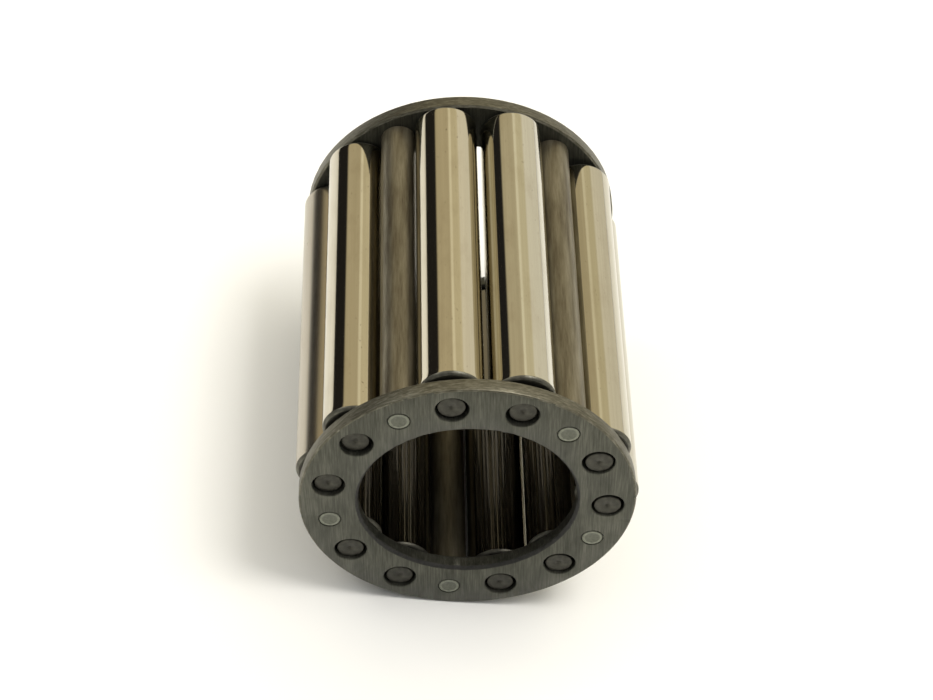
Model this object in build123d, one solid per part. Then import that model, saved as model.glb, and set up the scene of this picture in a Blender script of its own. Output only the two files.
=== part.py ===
from build123d import *
import math
import os

# Caged needle roller bearing with no races of its own. Two flat end rings are held apart by
# five riveted stays, and ten rollers turn between them on trunnions, in five close pairs.
# The rollers run straight on the shaft and in the housing bore.
#
# Frame: the bearing's axis is Y, Z is up and the origin is the middle of the bearing.
# It lies on its side: the front ring is at -Y, one pair of rollers is at the top and one
# stay is at the bottom. Angles go from +X towards +Z.

# Driving dimensions, in millimetres and degrees
SHAFT_DIA = 31.75          # the journal inside the rollers, 1 1/4 in
ROLLER_DIA = 9.525         # 3/8 in
ROLLER_LENGTH = 55.5625    # 2 3/16 in, without the trunnions
OVERALL_LENGTH = 61.0      # over the two rings
RING_THICKNESS = 2.4
RING_OUTER_DIA = 49.4      # 0.7 mm inside the 2 in housing bore all round
RING_BORE_DIA = 32.1       # 0.175 mm clear of the shaft all round
TRUNNION_DIA = 4.1
TRUNNION_LENGTH = 2.2
TRUNNION_HOLE_DIA = 4.85
STAY_DIA = 5.4
SPIGOT_DIA = 3.3

# How the pieces repeat round the axis
GROUPS = 5
FIRST_PAIR_ANGLE = 90.0    # the top pair
PAIR_HALF_ANGLE = 14.05    # from the middle of a pair to each of its rollers

# How each roller lies at rest: the gap between its front end and the front ring, for
# roller_01 onwards, and how far it drops in its loose trunnion holes
FRONT_GAPS = [0.25, 0.44, 0.10, 0.12, 0.22, 0.32, 0.32, 0.32, 0.52, 0.56]
DROP = 0.33

# Edges
RING_CHAMFER = 0.3
HOLE_CHAMFER = 0.12
ROLLER_EDGE_RADIUS = 0.7
TRUNNION_CHAMFER = 0.25
CENTRE_DIMPLE_RADIUS = 0.6
CENTRE_DIMPLE_DEPTH = 0.35
SPIGOT_CHAMFER = 0.12
DISH_RADIUS = 1.42         # the shallow dish that the riveting tool leaves in a stay's end
DISH_DEPTH = 0.12

# Worked out from the dimensions above
PITCH_RADIUS = (SHAFT_DIA + ROLLER_DIA) / 2
FRONT_FACE = -OVERALL_LENGTH / 2
INNER_SPAN = OVERALL_LENGTH - 2 * RING_THICKNESS
GROUP_STEP = 360.0 / GROUPS


def roller_angles():
    """The ten roller angles, clockwise from the left roller of the top pair."""
    angles = []
    for group in range(GROUPS):
        middle = FIRST_PAIR_ANGLE - group * GROUP_STEP
        angles.append(middle + PAIR_HALF_ANGLE)
        angles.append(middle - PAIR_HALF_ANGLE)
    return angles


def stay_angles():
    """The five stay angles, clockwise from the one left of the top pair."""
    return [FIRST_PAIR_ANGLE + GROUP_STEP * (0.5 - group) for group in range(GROUPS)]


def on_pitch_circle(angle):
    """The (x, z) of a point on the pitch circle."""
    turn = math.radians(angle)
    return PITCH_RADIUS * math.cos(turn), PITCH_RADIUS * math.sin(turn)


def lathe(outline):
    """A solid turned about the Y axis from the (radius, y) corners of half its section."""
    half_section = make_face(Polyline(*outline, close=True))
    return revolve(half_section, axis=Axis.Y)


def turned_pin(front_half):
    """A symmetric pin from the (radius, y) corners of its front half, centre line first."""
    rear_half = [(radius, -y) for radius, y in reversed(front_half)]
    return lathe(front_half + rear_half)


def ring_blank(front):
    """A flat ring with chamfered edges, whose front face is at y = front."""
    inner = RING_BORE_DIA / 2
    outer = RING_OUTER_DIA / 2
    rear = front + RING_THICKNESS
    return lathe([
        (inner + RING_CHAMFER, front),
        (outer - RING_CHAMFER, front),
        (outer, front + RING_CHAMFER),
        (outer, rear - RING_CHAMFER),
        (outer - RING_CHAMFER, rear),
        (inner + RING_CHAMFER, rear),
        (inner, rear - RING_CHAMFER),
        (inner, front + RING_CHAMFER),
    ])


def hole_tool(diameter, front):
    """What a drill and a light countersink on both faces take out of a ring."""
    radius = diameter / 2
    flare = radius + HOLE_CHAMFER
    rear = front + RING_THICKNESS
    return lathe([
        (0, front),
        (flare, front),
        (radius, front + HOLE_CHAMFER),
        (radius, rear - HOLE_CHAMFER),
        (flare, rear),
        (0, rear),
    ])


def end_ring(front):
    """An end ring with its trunnion holes and its rivet holes."""
    ring = ring_blank(front)
    trunnion_hole = hole_tool(TRUNNION_HOLE_DIA, front)
    rivet_hole = hole_tool(SPIGOT_DIA, front)
    for angle in roller_angles():
        x, z = on_pitch_circle(angle)
        ring -= Pos(x, 0, z) * trunnion_hole
    for angle in stay_angles():
        x, z = on_pitch_circle(angle)
        ring -= Pos(x, 0, z) * rivet_hole
    return ring


def stay(angle):
    """A plain round stay with a spigot riveted flush in each ring."""
    radius = SPIGOT_DIA / 2
    shoulder = -INNER_SPAN / 2
    pin = turned_pin([
        (0, FRONT_FACE + DISH_DEPTH),
        (DISH_RADIUS, FRONT_FACE),
        (radius - SPIGOT_CHAMFER, FRONT_FACE),
        (radius, FRONT_FACE + SPIGOT_CHAMFER),
        (radius, shoulder),
        (STAY_DIA / 2, shoulder),
    ])
    x, z = on_pitch_circle(angle)
    return Pos(x, 0, z) * pin


def roller_blank():
    """A needle roller with a trunnion at each end, centred on the origin."""
    radius = TRUNNION_DIA / 2
    shoulder = -ROLLER_LENGTH / 2
    tip = shoulder - TRUNNION_LENGTH
    pin = turned_pin([
        (0, tip + CENTRE_DIMPLE_DEPTH),
        (CENTRE_DIMPLE_RADIUS, tip),
        (radius - TRUNNION_CHAMFER, tip),
        (radius, tip + TRUNNION_CHAMFER),
        (radius, shoulder),
        (ROLLER_DIA / 2, shoulder),
    ])
    end_edges = [edge for edge in pin.edges().filter_by(GeomType.CIRCLE)
                 if math.isclose(edge.radius, ROLLER_DIA / 2)]
    return fillet(end_edges, ROLLER_EDGE_RADIUS)


def dropped(angle):
    """The (x, z) of a roller's axis at rest.

    A lower roller drops straight down in its holes. An upper one only slides round the
    pitch circle, because the shaft keeps it from dropping inwards.
    """
    turn = math.radians(angle)
    x, z = on_pitch_circle(angle)
    if math.sin(turn) < 0:
        return x, z - DROP
    slide = DROP * math.cos(turn)
    return x + slide * math.sin(turn), z - slide * math.cos(turn)


def roller(angle, front_gap):
    """A roller where it lies at rest, slid along to its front gap."""
    x, z = dropped(angle)
    middle = -INNER_SPAN / 2 + front_gap + ROLLER_LENGTH / 2
    return Pos(x, middle, z) * roller_blank()


def save(shape, name):
    shape.label = name
    export_step(shape, f"parts/{name}.step")


os.makedirs("parts", exist_ok=True)

save(end_ring(FRONT_FACE), "front_ring")
save(end_ring(-FRONT_FACE - RING_THICKNESS), "rear_ring")
for number, angle in enumerate(stay_angles(), start=1):
    save(stay(angle), f"stay_{number}")
for number, (angle, gap) in enumerate(zip(roller_angles(), FRONT_GAPS), start=1):
    save(roller(angle, gap), f"roller_{number:02d}")
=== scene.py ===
import math

import bmesh
import bpy
from mathutils import Matrix, Vector, noise


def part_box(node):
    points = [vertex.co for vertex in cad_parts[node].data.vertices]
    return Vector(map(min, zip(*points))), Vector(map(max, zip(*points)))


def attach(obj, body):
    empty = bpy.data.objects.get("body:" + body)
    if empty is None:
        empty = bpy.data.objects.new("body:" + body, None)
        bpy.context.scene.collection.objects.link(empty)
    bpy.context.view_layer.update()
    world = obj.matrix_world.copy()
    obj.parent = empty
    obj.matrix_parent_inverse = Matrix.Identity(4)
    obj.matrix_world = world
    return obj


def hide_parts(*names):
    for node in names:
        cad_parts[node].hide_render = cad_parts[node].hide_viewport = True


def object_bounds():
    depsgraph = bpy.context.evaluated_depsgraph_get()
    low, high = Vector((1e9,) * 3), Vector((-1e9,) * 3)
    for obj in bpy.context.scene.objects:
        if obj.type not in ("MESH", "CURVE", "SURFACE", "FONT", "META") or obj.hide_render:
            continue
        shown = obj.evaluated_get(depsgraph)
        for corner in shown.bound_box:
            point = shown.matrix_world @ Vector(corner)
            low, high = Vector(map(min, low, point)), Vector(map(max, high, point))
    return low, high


# The caged needle roller bearing lies on its side on white paper. Its axis is Y, the front
# ring is at -Y and Z is up. Every piece is turned or cut here at a finer grain than the CAD
# node that it stands for, in the place that the frame gives.

MM = 0.001
ROLLERS = 10
STAYS = 5

# Sizes that the frame's boxes don't give, in millimetres and degrees
TRUNNION_RADIUS = 2.05
TRUNNION_LENGTH = 2.2
TRUNNION_HOLE_RADIUS = 2.425
ROLLER_EDGE_RADIUS = 0.7
SPIGOT_RADIUS = 1.65
RING_BORE_RADIUS = 16.05
PAIR_HALF_ANGLE = 14.05      # from the middle of a roller pair to each of its rollers

# The camera: where it stands, where it looks, and how it is held
CAMERA_PLACE = Vector((-42.605, -250.808, 272.209)) * MM
CAMERA_SIDE_DEG = 9.75       # looking to the right of the bearing's axis
CAMERA_DOWN_DEG = 46.98
CAMERA_ROLL_DEG = 11.70
CAMERA_LENS_MM = 92.93
SENSOR_WIDTH_MM = 36.0

# The sheet of paper, wide enough for the polished rollers to mirror it to the horizon
PAPER_SIZE = 3.0

SHARP_ANGLE = 32.0           # edges sharper than this aren't shaded smooth
GRIND_TILT = 8.0             # how the rings' grinding marks lean, in degrees
EDGE_BAND = 0.9              # how much of a ring's outer edge is scuffed
CHAMFER_BAND = 0.7           # how far a ring's bore chamfer reaches, at most
TURNED_END_BAND = 0.08       # how much of a roller's edge is as dark as its end


# ---------------------------------------------------------------- mesh helpers

def polar(radius, angle):
    """The (x, z) of a point at a radius in millimetres, in metres."""
    return radius * math.cos(angle) * MM, radius * math.sin(angle) * MM


def turned_mesh(name, section, segments):
    """A closed mesh turned about Y. section(angle) gives its (radius, y) corners in
    millimetres. Corners of radius 0 are shared by all angles, and without them the
    section is a closed loop, as a ring's is."""
    bm = bmesh.new()
    columns = []
    poles = {}
    for step in range(segments):
        angle = 2 * math.pi * step / segments
        column = []
        for index, (radius, y) in enumerate(section(angle)):
            if radius > 0:
                x, z = polar(radius, angle)
                column.append(bm.verts.new((x, y * MM, z)))
            else:
                if index not in poles:
                    poles[index] = bm.verts.new((0, y * MM, 0))
                column.append(poles[index])
        columns.append(column)
    rows = len(columns[0])
    for step in range(segments):
        here = columns[step]
        there = columns[(step + 1) % segments]
        for row in range(rows - 1 if poles else rows):
            after = (row + 1) % rows
            corners = [here[row], here[after], there[after], there[row]]
            bm.faces.new(list(dict.fromkeys(corners)))
    bmesh.ops.recalc_face_normals(bm, faces=bm.faces)
    mesh = bpy.data.meshes.new(name)
    bm.to_mesh(mesh)
    bm.free()
    return mesh


def rounded_corner(radius, y, edge, steps):
    """The (radius, y) points of a rounded outer corner at the front end of a pin."""
    points = []
    for step in range(steps + 1):
        turn = math.pi / 2 * step / steps
        out = radius - edge + edge * math.sin(turn)
        along = y + edge - edge * math.cos(turn)
        points.append((out, along))
    return points


def mirrored(front):
    """A whole section from its front half, (radius, y) from the front centre outwards."""
    return front + [(radius, -y) for radius, y in reversed(front)]


def linked(name, mesh):
    """A new object in the scene that shows a mesh."""
    shown = bpy.data.objects.new(name, mesh)
    bpy.context.scene.collection.objects.link(shown)
    return shown


def piece(shown, body, node, materials):
    """Makes an object a visible piece that rides on a body and stands for a CAD node."""
    for material in materials:
        shown.data.materials.append(material)
    shown.data.shade_smooth()
    shown.data.set_sharp_from_angle(angle=math.radians(SHARP_ANGLE))
    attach(shown, body)
    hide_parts(node)
    return shown


def paint_faces(mesh, wanted, index):
    """Gives material number index to the faces whose centre and normal are wanted."""
    for face in mesh.polygons:
        if wanted(face.center / MM, face.normal):
            face.material_index = index


# ---------------------------------------------------------------- material helpers

class Shader:
    """A node tree under construction, with short calls for the nodes used here."""

    def __init__(self, tree):
        self.tree = tree
        tree.nodes.clear()

    def node(self, kind, inputs=(), **settings):
        made = self.tree.nodes.new(kind)
        for key, value in settings.items():
            setattr(made, key, value)
        for key, value in dict(inputs).items():
            self.feed(made.inputs[key], value)
        return made

    def feed(self, socket, value):
        if isinstance(value, bpy.types.NodeSocket):
            self.tree.links.new(value, socket)
        else:
            socket.default_value = value

    def math(self, operation, a, b=0.0, clamp=False):
        made = self.node("ShaderNodeMath", {0: a, 1: b}, operation=operation)
        made.use_clamp = clamp
        return made.outputs[0]

    def scaled(self, vector, scale, shift=(0, 0, 0)):
        """A position times a scale on each axis, then shifted."""
        made = self.node("ShaderNodeMapping", {"Vector": vector, "Scale": scale, "Location": shift})
        return made.outputs["Vector"]

    def turned(self, vector, axis, degrees):
        settings = {"Vector": vector, "Angle": math.radians(degrees)}
        made = self.node("ShaderNodeVectorRotate", settings, rotation_type=axis)
        return made.outputs["Vector"]

    def noise(self, vector, scale=1.0, detail=3.0, roughness=0.5):
        inputs = {"Vector": vector, "Scale": scale, "Detail": detail, "Roughness": roughness}
        return self.node("ShaderNodeTexNoise", inputs).outputs["Fac"]

    def ramp(self, value, stops, interpolation="LINEAR"):
        """A colour ramp from (position, colour) stops; a colour may be one grey number."""
        made = self.node("ShaderNodeValToRGB", {"Fac": value})
        made.color_ramp.interpolation = interpolation
        elements = made.color_ramp.elements
        while len(elements) < len(stops):
            elements.new(1.0)
        for element, (position, colour) in zip(elements, stops):
            element.position = position
            rgb = colour if isinstance(colour, tuple) else (colour,) * 3
            element.color = (*rgb, 1.0)
        return made.outputs["Color"]

    def mix(self, factor, a, b, blend="MIX"):
        made = self.node("ShaderNodeMix", data_type="RGBA", blend_type=blend)
        self.feed(made.inputs["Factor"], factor)
        colours = [s for s in made.inputs if s.type == "RGBA"]
        for socket, value in zip(colours, (a, b)):
            self.feed(socket, (*value, 1.0) if isinstance(value, tuple) else value)
        return [s for s in made.outputs if s.type == "RGBA"][0]

    def bump(self, height, distance, strength=1.0, normal=None):
        inputs = {"Height": height, "Distance": distance, "Strength": strength}
        if normal is not None:
            inputs["Normal"] = normal
        return self.node("ShaderNodeBump", inputs).outputs["Normal"]


def new_material(name):
    """An empty node material with its shader and the object's position in millimetres."""
    material = bpy.data.materials.new(name)
    material.use_nodes = True
    shader = Shader(material.node_tree)
    output = shader.node("ShaderNodeOutputMaterial")
    surface = shader.node("ShaderNodeBsdfPrincipled")
    shader.feed(output.inputs["Surface"], surface.outputs["BSDF"])
    place = shader.node("ShaderNodeTexCoord").outputs["Object"]
    in_mm = shader.scaled(place, (1000, 1000, 1000))
    return material, shader, surface, in_mm


# ---------------------------------------------------------------- materials

# How each roller's steel is tinted, and how rough it is worn, where it isn't plain
PLAIN_TINT = (1.0, 1.0, 1.0)
PLAIN_ROUGHNESS = 0.06
ROLLER_TINTS = {1: (1.0, 0.965, 0.88), 2: (1.01, 1.01, 0.98), 3: (0.90, 0.88, 0.81),
                4: (0.86, 0.84, 0.78), 9: (0.78, 0.74, 0.70), 10: (0.98, 0.95, 0.88)}
WORN_ROLLERS = {9: 0.24}

# How far from a roller's centre line towards the bore its painted shade starts and is full, in
# millimetres, with twice the 0 to 1 blotch noise added to break up its edge
INNER_SHADE_START = 1.6
INNER_SHADE_FULL = 3.6


def tinted(colour, tint):
    """A colour times a tint, channel by channel."""
    return tuple(min(1.0, part * share) for part, share in zip(colour, tint))


def polished_steel(number, inward):
    """Ground and polished roller steel: faint lengthwise streaks, light stains and specks,
    and painted shade, a darker colour, on the side that lies inward, towards the bore."""
    tint = ROLLER_TINTS.get(number, PLAIN_TINT)
    material, shader, surface, place = new_material(f"polished_steel_{number:02d}")
    apart = (17.3 * number, 5.1 * number, -9.7 * number)
    streaks = shader.noise(shader.scaled(place, (2.2, 0.02, 2.2), apart), 1.0, 4.0, 0.6)
    blotches = shader.noise(shader.scaled(place, (0.35, 0.12, 0.35), apart), 1.0, 5.0, 0.6)
    specks = shader.noise(shader.scaled(place, (2.6, 1.6, 2.6), apart), 1.0, 2.0, 0.5)
    stain = shader.ramp(blotches, [(0.5, 0.0), (0.72, 1.0)])
    speck = shader.ramp(specks, [(0.70, 0.0), (0.78, 1.0)])
    clean = shader.ramp(streaks, [(0.3, tinted((0.54, 0.52, 0.46), tint)),
                                  (0.7, tinted((0.60, 0.58, 0.52), tint))])
    stained = shader.mix(shader.math("MULTIPLY", stain, 0.35), clean, (0.40, 0.35, 0.27))
    specked = shader.mix(shader.math("MULTIPLY", speck, 0.55), stained, (0.16, 0.12, 0.09))
    depth = shader.node("ShaderNodeVectorMath", {0: place, 1: inward}, operation="DOT_PRODUCT")
    ragged = shader.math("MULTIPLY_ADD", blotches, 2.0)
    shader.feed(ragged.node.inputs[2], depth.outputs["Value"])
    reach = {"Value": ragged, "From Min": INNER_SHADE_START, "From Max": INNER_SHADE_FULL}
    inner_shade = shader.node("ShaderNodeMapRange", reach)
    inner_shade.interpolation_type = "SMOOTHSTEP"
    # Painted shade: the side towards the bore is mixed towards dark grey (0.22, 0.21, 0.19).
    colour = shader.mix(inner_shade.outputs["Result"], specked, (0.22, 0.21, 0.19))
    rough = shader.math("MULTIPLY_ADD", blotches, 0.05)
    rough.node.inputs[2].default_value = WORN_ROLLERS.get(number, PLAIN_ROUGHNESS)
    shader.feed(surface.inputs["Base Color"], colour)
    shader.feed(surface.inputs["Roughness"], rough)
    surface.inputs["Metallic"].default_value = 1.0
    return material


def end_steel(name, light):
    """The dark, rough-turned ends and trunnions of the rollers, or, made lighter, their rounded
    edges as a painted highlight.
    """
    material, shader, surface, place = new_material(name)
    dirt = shader.noise(place, 0.9, 4.0, 0.6)
    grain = shader.noise(place, 6.0, 3.0, 0.6)
    steels = ((0.037, 0.036, 0.030), (0.077, 0.075, 0.061))
    low, high = (tinted(steel, (light,) * 3) for steel in steels)
    colour = shader.ramp(dirt, [(0.3, low), (0.7, high)])
    shader.feed(surface.inputs["Base Color"], colour)
    shader.feed(surface.inputs["Normal"], shader.bump(grain, 0.00003, 0.5))
    surface.inputs["Metallic"].default_value = 0.85
    surface.inputs["Roughness"].default_value = 0.45
    return material


def ground_steel():
    """The rings' flat faces: dark grey steel with straight grinding marks."""
    material, shader, surface, place = new_material("ground_ring_steel")
    along = shader.turned(place, "Y_AXIS", GRIND_TILT)
    marks = shader.noise(shader.scaled(along, (5.0, 1.0, 0.22)), 1.0, 5.0, 0.65)
    broad = shader.noise(shader.scaled(along, (0.5, 0.5, 0.12)), 1.0, 4.0, 0.55)
    both = shader.math("MULTIPLY_ADD", marks, 0.6)
    shader.feed(both.node.inputs[2], shader.math("MULTIPLY", broad, 0.4))
    colour = shader.ramp(both, [(0.34, (0.045, 0.046, 0.036)), (0.5, (0.080, 0.081, 0.065)),
                                (0.64, (0.130, 0.130, 0.105))])
    shader.feed(surface.inputs["Base Color"], colour)
    shader.feed(surface.inputs["Normal"], shader.bump(marks, 0.00004, 0.5))
    surface.inputs["Metallic"].default_value = 0.8
    surface.inputs["Roughness"].default_value = 0.45
    return material


def rim_steel():
    """The rings' outer rims and edges: brownish grey, scuffed round the ring."""
    material, shader, surface, place = new_material("scuffed_rim_steel")
    scuff = shader.noise(shader.scaled(place, (0.8, 5.0, 0.8)), 1.0, 5.0, 0.65)
    colour = shader.ramp(scuff, [(0.3, (0.065, 0.061, 0.045)), (0.52, (0.125, 0.118, 0.088)),
                                 (0.72, (0.24, 0.23, 0.18))])
    shader.feed(surface.inputs["Base Color"], colour)
    shader.feed(surface.inputs["Normal"], shader.bump(scuff, 0.00004, 0.5))
    surface.inputs["Metallic"].default_value = 0.8
    surface.inputs["Roughness"].default_value = 0.42
    return material


def dark_chamfer():
    """The ragged chamfer round a ring's bore, coloured near black all round."""
    material, shader, surface, place = new_material("dark_chamfer_steel")
    clumps = shader.noise(place, 2.0, 4.0, 0.6)
    colour = shader.ramp(clumps, [(0.3, (0.006, 0.006, 0.005)), (0.7, (0.022, 0.021, 0.018))])
    shader.feed(surface.inputs["Base Color"], colour)
    shader.feed(surface.inputs["Normal"], shader.bump(clumps, 0.0001, 0.6))
    surface.inputs["Roughness"].default_value = 0.6
    return material


def stay_steel():
    """The stays: dull bare steel, mottled brown and grey."""
    material, shader, surface, place = new_material("mottled_stay_steel")
    mottle = shader.noise(shader.scaled(place, (1.0, 0.10, 1.0)), 1.0, 6.0, 0.65)
    grain = shader.noise(shader.scaled(place, (5.0, 0.8, 5.0)), 1.0, 4.0, 0.6)
    colour = shader.ramp(mottle, [(0.3, (0.085, 0.068, 0.044)), (0.48, (0.155, 0.136, 0.092)),
                                  (0.7, (0.245, 0.220, 0.160))])
    shader.feed(surface.inputs["Base Color"], colour)
    shader.feed(surface.inputs["Normal"], shader.bump(grain, 0.00005, 0.5))
    surface.inputs["Metallic"].default_value = 0.75
    surface.inputs["Roughness"].default_value = 0.38
    return material


def rivet_steel(name, light):
    """The peened ends of the stays: a little lighter than the ring they are riveted in, and
    lighter still on the raised lip."""
    material, shader, surface, place = new_material(name)
    marks = shader.noise(place, 2.4, 4.0, 0.6)
    steels = ((0.095, 0.10, 0.08), (0.15, 0.155, 0.125))
    low, high = (tinted(steel, (light,) * 3) for steel in steels)
    colour = shader.ramp(marks, [(0.3, low), (0.7, high)])
    shader.feed(surface.inputs["Base Color"], colour)
    shader.feed(surface.inputs["Normal"], shader.bump(marks, 0.00005, 0.5))
    surface.inputs["Metallic"].default_value = 0.8
    surface.inputs["Roughness"].default_value = 0.45
    return material


def paper():
    material, shader, surface, place = new_material("white_paper")
    surface.inputs["Base Color"].default_value = (0.90, 0.90, 0.88, 1.0)
    surface.inputs["Roughness"].default_value = 0.9
    surface.inputs["Specular IOR Level"].default_value = 0.0
    return material


# ---------------------------------------------------------------- pieces

def roller_section(radius, half):
    """A roller's section, from its front centre to its rear centre."""
    tip = -half - TRUNNION_LENGTH
    front = [(0, tip + 0.35), (0.22, tip + 0.2), (0.6, tip), (1.3, tip)]
    front += rounded_corner(TRUNNION_RADIUS, tip, 0.22, 4)
    front += [(TRUNNION_RADIUS, -half - 0.12), (TRUNNION_RADIUS + 0.12, -half), (3.2, -half)]
    front += rounded_corner(radius, -half, ROLLER_EDGE_RADIUS, 8)
    front += [(radius, -half * share) for share in (0.95, 0.8, 0.6, 0.4, 0.2)]
    return mirrored(front)


def make_roller(number, end_materials):
    name = f"roller_{number:02d}"
    low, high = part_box(name)
    radius = (high.x - low.x) / 2 / MM
    half = (high.y - low.y) / 2 / MM - TRUNNION_LENGTH
    mesh = turned_mesh(f"{name}_turned", lambda angle: roller_section(radius, half), 160)
    edge = half - ROLLER_EDGE_RADIUS
    end = half - TURNED_END_BAND
    # The rounded edges get the lighter edge steel, a painted highlight for the light line they
    # catch.
    paint_faces(mesh, lambda centre, normal: abs(centre.y) > edge and abs(normal.y) > 0.12, 2)
    paint_faces(mesh, lambda centre, normal: abs(centre.y) > end, 1)
    shown = linked(f"{name}_turned", mesh)
    shown.location = (low + high) / 2
    inward = -Vector((shown.location.x, 0, shown.location.z)).normalized()
    steel = polished_steel(number, inward)
    return piece(shown, name, name, [steel, *end_materials])


def stay_section(radius, half, shoulder):
    """A stay's section, with the dished and peened end of its riveted spigot."""
    front = [(0, -half + 0.13), (0.5, -half + 0.11), (0.95, -half + 0.05), (1.12, -half + 0.015)]
    front += [(1.38, -half + 0.0), (1.48, -half + 0.02), (1.56, -half + 0.1)]
    front += [(SPIGOT_RADIUS - 0.05, -half + 0.35), (SPIGOT_RADIUS - 0.02, -shoulder)]
    front += [(radius - 0.2, -shoulder), (radius, -shoulder + 0.2)]
    front += [(radius, -shoulder * share) for share in (0.95, 0.7, 0.35)]
    return mirrored(front)


def make_stay(number, shoulder, materials):
    name = f"stay_{number}"
    low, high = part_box(name)
    radius = (high.x - low.x) / 2 / MM
    half = (high.y - low.y) / 2 / MM
    section = stay_section(radius, half, shoulder)
    mesh = turned_mesh(f"{name}_riveted", lambda angle: section, 96)
    paint_faces(mesh, lambda centre, normal: abs(centre.y) > shoulder + 0.02, 1)
    paint_faces(mesh, lambda centre, normal: abs(centre.y) > half - 0.12
                and 1.1 < math.hypot(centre.x, centre.z) < 1.5, 2)
    shown = linked(f"{name}_riveted", mesh)
    shown.location = (low + high) / 2
    return piece(shown, "cage", name, materials)


def ring_section(angle, outer, half, seed):
    """A ring's section: a ragged chamfer round the bore and small dents in the outer edges."""
    round_ring = Vector((math.cos(angle), math.sin(angle), seed))
    ragged = noise.fractal(round_ring * 14, 1.0, 2.0, 4)
    wavy = noise.noise(round_ring * 3)
    bore_cut = 0.42 + 0.10 * wavy + 0.07 * ragged
    bore_deep = 0.50 + 0.06 * wavy - 0.09 * ragged
    nick = max(0.0, noise.noise(round_ring * 22 + Vector((0, 0, 5))) - 0.28) * 0.9
    edge = 0.28 + nick
    inner = RING_BORE_RADIUS
    return [
        (inner + bore_cut, -half),
        (inner + bore_cut - 0.10, -half + 0.06),
        (inner, -half + bore_deep),
        (inner, half - 0.35),
        (inner + 0.3, half),
        (outer - 0.3, half),
        (outer, half - 0.3),
        (outer, -half + edge),
        (outer - 0.08, -half + 0.12),
        (outer - edge, -half),
    ]


def hole_cutter(name, radius, flare, half, place):
    """What a drilled hole with a light countersink takes out of a ring."""
    past = half + 0.2
    section = [
        (0, -past),
        (radius + flare + 0.2, -past),
        (radius, -half + flare),
        (radius, half - flare),
        (radius + flare + 0.2, past),
        (0, past),
    ]
    cutter = linked(name, turned_mesh(name, lambda angle: section, 72))
    cutter.location = place
    return cutter


def cut_away(shown, cutters):
    """Takes the cutters out of a mesh for good."""
    group = bpy.data.collections.new("cutters")
    bpy.context.scene.collection.children.link(group)
    for cutter in cutters:
        group.objects.link(cutter)
    boolean = shown.modifiers.new("holes", "BOOLEAN")
    boolean.operation = "DIFFERENCE"
    boolean.solver = "EXACT"
    boolean.operand_type = "COLLECTION"
    boolean.collection = group
    graph = bpy.context.evaluated_depsgraph_get()
    cut = bpy.data.meshes.new_from_object(shown.evaluated_get(graph))
    shown.modifiers.clear()
    shown.data = cut
    for cutter in cutters:
        bpy.data.objects.remove(cutter)
    bpy.data.collections.remove(group)


def make_ring(name, seed, facing, holes, rivets, materials):
    """A ring whose worked face looks along facing (-1 to the front, 1 to the rear)."""
    low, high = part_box(name)
    outer = (high.x - low.x) / 2 / MM
    half = (high.y - low.y) / 2 / MM
    mesh = turned_mesh(f"{name}_cut", lambda angle: ring_section(angle, outer, half, seed), 720)
    if facing > 0:
        mesh.transform(Matrix.Rotation(math.pi, 4, "Z"))
    shown = linked(f"{name}_cut", mesh)
    shown.location = (low + high) / 2
    middle = Vector((0, shown.location.y, 0))
    cutters = [hole_cutter("hole", TRUNNION_HOLE_RADIUS, 0.12, half, middle + at) for at in holes]
    cutters += [hole_cutter("rivet", SPIGOT_RADIUS, 0.1, half, middle + at) for at in rivets]
    cut_away(shown, cutters)

    def on_edge(centre, normal):
        return abs(normal.y) < 0.9 and math.hypot(centre.x, centre.z) > outer - EDGE_BAND
    paint_faces(shown.data, on_edge, 1)

    def in_chamfer(centre, normal):
        inside = math.hypot(centre.x, centre.z) < RING_BORE_RADIUS + CHAMFER_BAND
        return inside and 0.3 < abs(normal.y) < 0.9
    # The bore chamfers are coloured near black.
    paint_faces(shown.data, in_chamfer, 2)
    return piece(shown, "cage", name, materials)


# ---------------------------------------------------------------- surroundings

def make_paper(height):
    """The sheet that the bearing lies on."""
    bm = bmesh.new()
    reach = PAPER_SIZE / 2
    corners = [(-reach, -reach), (reach, -reach), (reach, reach), (-reach, reach)]
    bm.faces.new([bm.verts.new((x, y, height)) for x, y in corners])
    mesh = bpy.data.meshes.new("paper")
    bm.to_mesh(mesh)
    bm.free()
    sheet = linked("paper", mesh)
    mesh.materials.append(paper())


DARK_ROOM = (0.02, 0.018, 0.016)
TAN_WALL = (0.62, 0.53, 0.34)
TAN_LIGHT = (0.77, 0.68, 0.45)
LAMP_GLARE = (0.97, 0.88, 0.63)
PALE_WALL = (0.95, 0.88, 0.70)

NEAR_ROOM = (0.16, 0.16, 0.155)    # the photographer's side

# The room round the bearing's axis, as (degrees from +X over the top, colour)
ROOM = [
    (-180, DARK_ROOM), (-60, DARK_ROOM), (-25, (0.5, 0.46, 0.38)), (0, (0.88, 0.82, 0.66)),
    (52, PALE_WALL), (58, TAN_LIGHT), (79, TAN_LIGHT), (82, LAMP_GLARE), (88, LAMP_GLARE),
    (92, TAN_WALL), (136, TAN_WALL), (142, DARK_ROOM), (180, DARK_ROOM),
]


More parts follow.
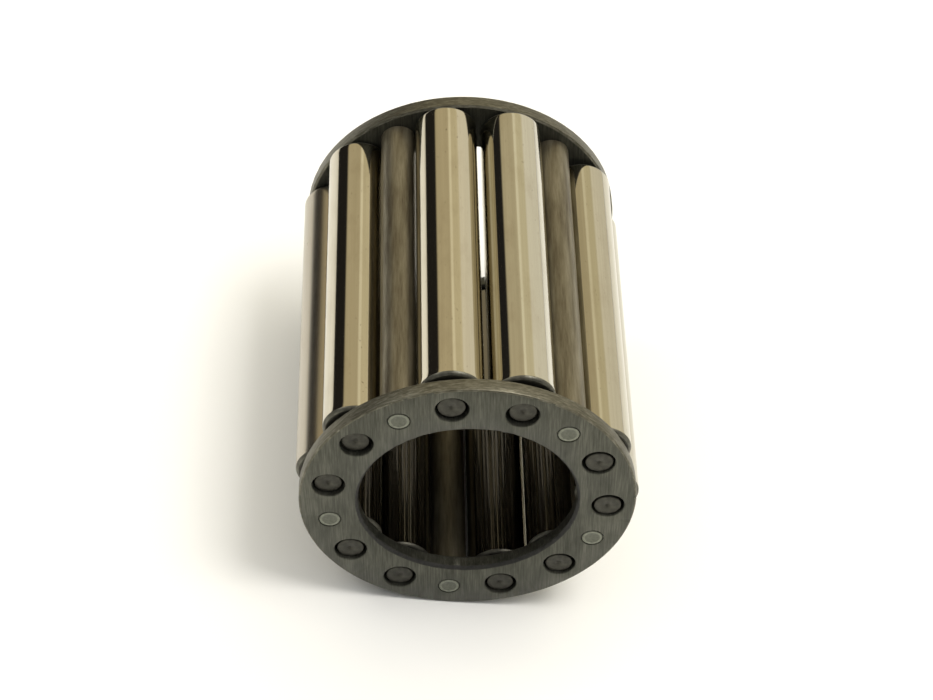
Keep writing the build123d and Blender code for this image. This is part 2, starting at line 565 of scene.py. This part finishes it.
def make_room():
    """The light from all round: a tan room on the far side, with a dark horizon on the left,
    and a pale one on the near side. The camera itself sees plain white."""
    world = bpy.data.worlds.new("room")
    bpy.context.scene.world = world
    world.use_nodes = True
    shader = Shader(world.node_tree)
    way = shader.node("ShaderNodeTexCoord").outputs["Generated"]
    split = shader.node("ShaderNodeSeparateXYZ", {"Vector": way})
    x, y, z = split.outputs
    turn = shader.math("ARCTAN2", z, x)
    share = shader.math("MULTIPLY_ADD", turn, 1 / (2 * math.pi))
    share.node.inputs[2].default_value = 0.5
    room = shader.ramp(share, [((degrees + 180) / 360, colour) for degrees, colour in ROOM])
    far = shader.node("ShaderNodeMapRange", {"Value": y, "From Min": -0.35, "From Max": 0.15})
    colour = shader.mix(far.outputs["Result"], NEAR_ROOM, room)
    light = shader.node("ShaderNodeBackground", {"Color": colour, "Strength": 1.0})
    plain = shader.node("ShaderNodeBackground", {"Color": (0.955, 0.945, 0.915, 1), "Strength": 1.0})
    seen = shader.node("ShaderNodeLightPath").outputs["Is Camera Ray"]
    both = shader.node("ShaderNodeMixShader", {0: seen, 1: light.outputs[0], 2: plain.outputs[0]})
    output = shader.node("ShaderNodeOutputWorld")
    shader.feed(output.inputs["Surface"], both.outputs[0])


def make_lamp(name, side_deg, height_deg, distance, size, power, colour):
    """A soft square lamp. side_deg goes round from -Y towards +X."""
    light = bpy.data.lights.new(name, "AREA")
    light.size = size
    light.energy = power
    light.color = colour
    lamp = linked(name, light)
    side = math.radians(side_deg)
    height = math.radians(height_deg)
    way = Vector((math.sin(side) * math.cos(height), -math.cos(side) * math.cos(height),
                  math.sin(height)))
    lamp.location = way * distance
    lamp.rotation_euler = way.to_track_quat("Z", "Y").to_euler()
    return lamp


def make_camera():
    """The camera looks down at the bearing from the left of its axis, and is held askew."""
    side = math.radians(CAMERA_SIDE_DEG)
    height = math.radians(CAMERA_DOWN_DEG)
    roll = math.radians(CAMERA_ROLL_DEG)
    forward = Vector((math.sin(side) * math.cos(height), math.cos(side) * math.cos(height),
                      -math.sin(height)))
    level = Vector((math.cos(side), -math.sin(side), 0))
    right = math.cos(roll) * level + math.sin(roll) * level.cross(forward)
    up = right.cross(forward)
    data = bpy.data.cameras.new("camera")
    data.lens = CAMERA_LENS_MM
    data.sensor_width = SENSOR_WIDTH_MM
    data.clip_start = 0.01
    camera = linked("camera", data)
    camera.matrix_world = Matrix.Translation(CAMERA_PLACE) @ Matrix(
        (right, up, -forward)).transposed().to_4x4()
    bpy.context.scene.camera = camera


# ---------------------------------------------------------------- the scene

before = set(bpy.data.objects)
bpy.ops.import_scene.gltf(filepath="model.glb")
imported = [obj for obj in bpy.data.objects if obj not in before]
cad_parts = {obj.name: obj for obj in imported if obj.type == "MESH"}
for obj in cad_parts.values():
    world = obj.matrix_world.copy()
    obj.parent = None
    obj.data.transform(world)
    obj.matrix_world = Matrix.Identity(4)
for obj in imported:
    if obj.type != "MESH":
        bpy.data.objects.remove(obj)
cad_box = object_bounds()

stay_places = []
for number in range(1, STAYS + 1):
    low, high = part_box(f"stay_{number}")
    centre = (low + high) / 2
    stay_places.append(Vector((centre.x, 0, centre.z)))
pitch_radius = stay_places[0].length
hole_places = []
for at in stay_places:
    middle = math.atan2(at.z, at.x) + math.pi / STAYS
    for side in (-1, 1):
        angle = middle + side * math.radians(PAIR_HALF_ANGLE)
        hole_places.append(Vector((math.cos(angle), 0, math.sin(angle))) * pitch_radius)

front_low, front_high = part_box("front_ring")
shoulder = -front_high.y / MM

ring_materials = [ground_steel(), rim_steel(), dark_chamfer()]
make_ring("front_ring", 0.0, -1, hole_places, stay_places, ring_materials)
make_ring("rear_ring", 3.0, 1, hole_places, stay_places, ring_materials)
stay_materials = [stay_steel(), rivet_steel("peened_rivet_steel", 1.0),
                  rivet_steel("peened_lip_steel", 1.6)]
for number in range(1, STAYS + 1):
    make_stay(number, shoulder, stay_materials)
# The second, lighter one is a painted highlight on the rollers' rounded edges.
end_materials = [end_steel("turned_end_steel", 1.0), end_steel("edge_highlight_steel", 2.3)]
for number in range(1, ROLLERS + 1):
    make_roller(number, end_materials)

make_paper(cad_box[0].z)
make_room()
make_lamp("key_lamp", side_deg=68, height_deg=70, distance=0.9,
          size=0.32, power=4.2, colour=(1.0, 0.97, 0.93))
make_lamp("fill_lamp", side_deg=-100, height_deg=45, distance=0.9,
          size=0.30, power=0.9, colour=(0.95, 0.98, 1.0))
overhead = make_lamp("overhead_lamp", side_deg=0, height_deg=89, distance=1.2,
                     size=2.4, power=15.0, colour=(0.965, 0.98, 1.0))
overhead.visible_glossy = False
make_camera()
bpy.context.scene.view_settings.view_transform = "Standard"
